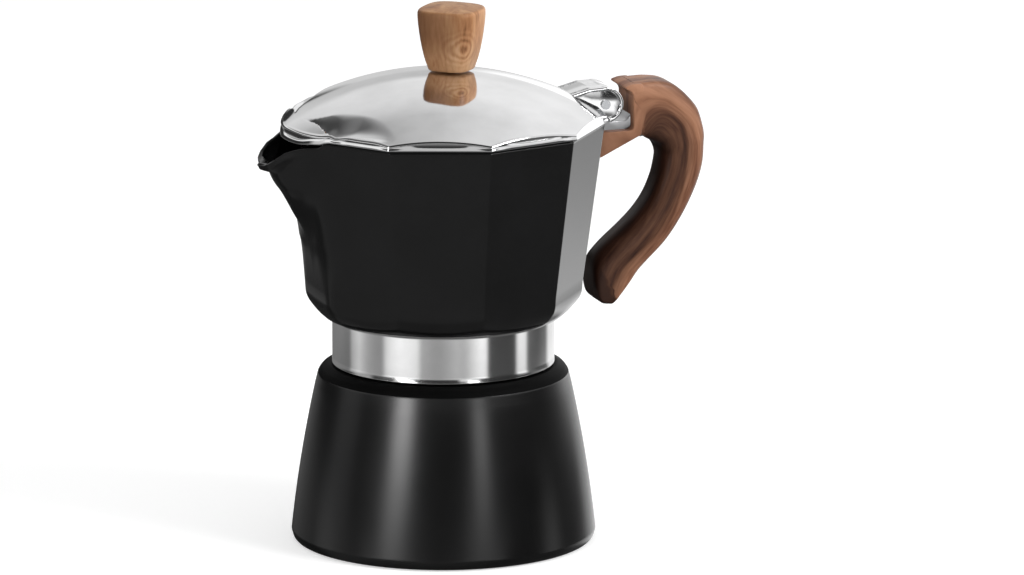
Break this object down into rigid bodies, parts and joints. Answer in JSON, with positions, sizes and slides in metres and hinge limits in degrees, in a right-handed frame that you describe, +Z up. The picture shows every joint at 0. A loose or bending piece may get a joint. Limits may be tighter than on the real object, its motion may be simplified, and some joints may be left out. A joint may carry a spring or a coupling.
{
  "type": "moka pot",
  "caption": "Stove-top moka pot: conical black boiler, bare metal waist band, faceted black jug with pouring spout, domed metal lid, wooden knob and C-shaped wooden handle",
  "frame": {"origin": "centre of the boiler's flat underside, on the boiler's axis", "axes": "+Z up along the boiler's axis, +X towards the handle, -X towards the spout, the safety valve on the +Y side"},
  "size_m": [0.1402, 0.1018, 0.1639],
  "materials": {
    "black_coating": "satin",
    "aluminium": "satin",
    "polished_aluminium": "polished",
    "brass": "satin",
    "steel": "satin",
    "seal_rubber": "matte",
    "light_wood": "satin",
    "dark_wood": "satin",
    "seal_ring": "matte"
  },
  "bodies": {
    "base": {"boiler": "black_coating", "safety_valve_body": "brass", "safety_valve_washer": "seal_ring", "safety_valve_cap": "brass", "safety_valve_spring": "steel"},
    "valve_pin": {"safety_valve_pin": "steel"},
    "funnel": {"funnel_cup": "aluminium", "funnel_stem": "aluminium", "funnel_strainer": "aluminium"},
    "gasket": {"collector_gasket": "seal_rubber"},
    "filter": {"filter_plate": "aluminium"},
    "collector": {"collector": "black_coating", "riser_column": "aluminium", "handle": "dark_wood", "handle_washer": "steel", "handle_screw": "steel"},
    "lid": {"lid": "polished_aluminium", "lid_hinge_pin": "steel", "knob": "light_wood", "knob_insert": "brass", "knob_washer": "steel", "knob_screw": "steel"}
  },
  "joints": [
    {"name": "valve_pin_slide", "type": "slide", "parent": "base", "child": "valve_pin", "axis": [0, 1, 0], "range_m": [0, 0.0018], "stiffness_N_per_m": 1500, "deforming": ["safety_valve_spring"]},
    {"name": "funnel_lift", "type": "slide", "parent": "base", "child": "funnel", "axis": [0, 0, 1], "range_m": [0, 0.062]},
    {"name": "collector_lift", "type": "slide", "parent": "funnel", "child": "gasket", "axis": [0, 0, 1], "range_m": [0, 0.04]},
    {"name": "thread_rise", "type": "slide", "parent": "gasket", "child": "filter", "axis": [0, 0, 1], "range_m": [0, 0.0045]},
    {"name": "collector_turn", "type": "hinge", "parent": "filter", "child": "collector", "pos_m": [0, 0, 0.06], "axis": [0, 0, 1], "range_deg": [0, 540]},
    {"name": "lid_hinge", "type": "hinge", "parent": "collector", "child": "lid", "pos_m": [0.04951, 0, 0.1318], "axis": [0, 1, 0], "range_deg": [0, 100]}
  ],
  "couplings": [
    {"joint": "thread_rise", "follows": "collector_turn", "m_per_rad": 0.000477}
  ]
}
